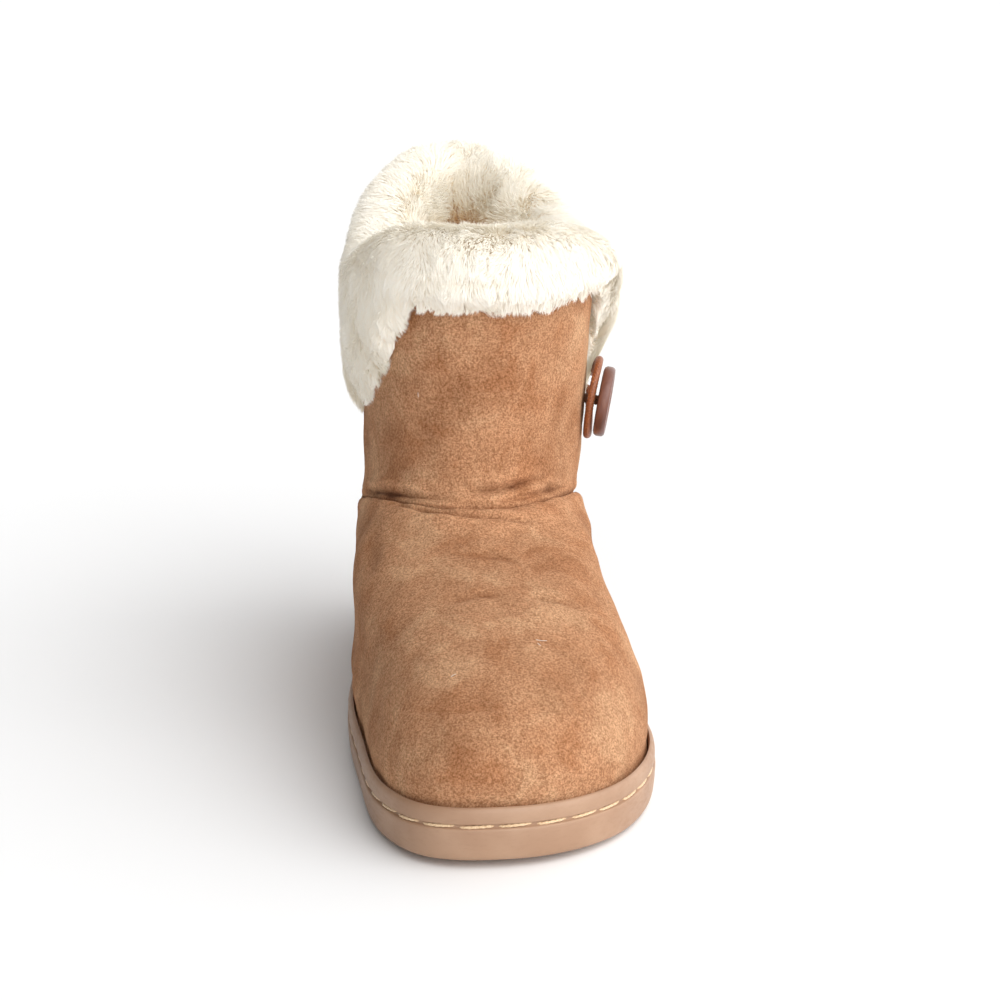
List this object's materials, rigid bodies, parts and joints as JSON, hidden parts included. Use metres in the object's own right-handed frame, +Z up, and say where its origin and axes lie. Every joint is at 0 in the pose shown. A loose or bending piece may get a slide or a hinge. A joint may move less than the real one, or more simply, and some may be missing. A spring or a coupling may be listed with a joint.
{
  "type": "bootie slipper",
  "caption": "Ankle-high faux-suede bootie slipper with a deep fur cuff, a moulded cup sole, and a button with a cord loop on the outer side.",
  "frame": {"origin": "middle of the bounding box, on the floor that the shoe stands on", "axes": "+Z up, -Y towards the toe, +X towards the outer side of the foot, where the button is"},
  "size_m": [0.1046, 0.2634, 0.186],
  "materials": {
    "gum_rubber": "satin",
    "fleece": "matte pile",
    "suede": "napped faux suede",
    "fur": "long soft pile",
    "button_horn": "satin",
    "elastic": "covered round elastic"
  },
  "bodies": {
    "root": {"outsole": "gum_rubber", "insole": "fleece", "upper": "suede", "shaft": "suede", "fur_cuff": "fur", "button": "button_horn", "button_loop": "elastic"}
  },
  "joints": []
}
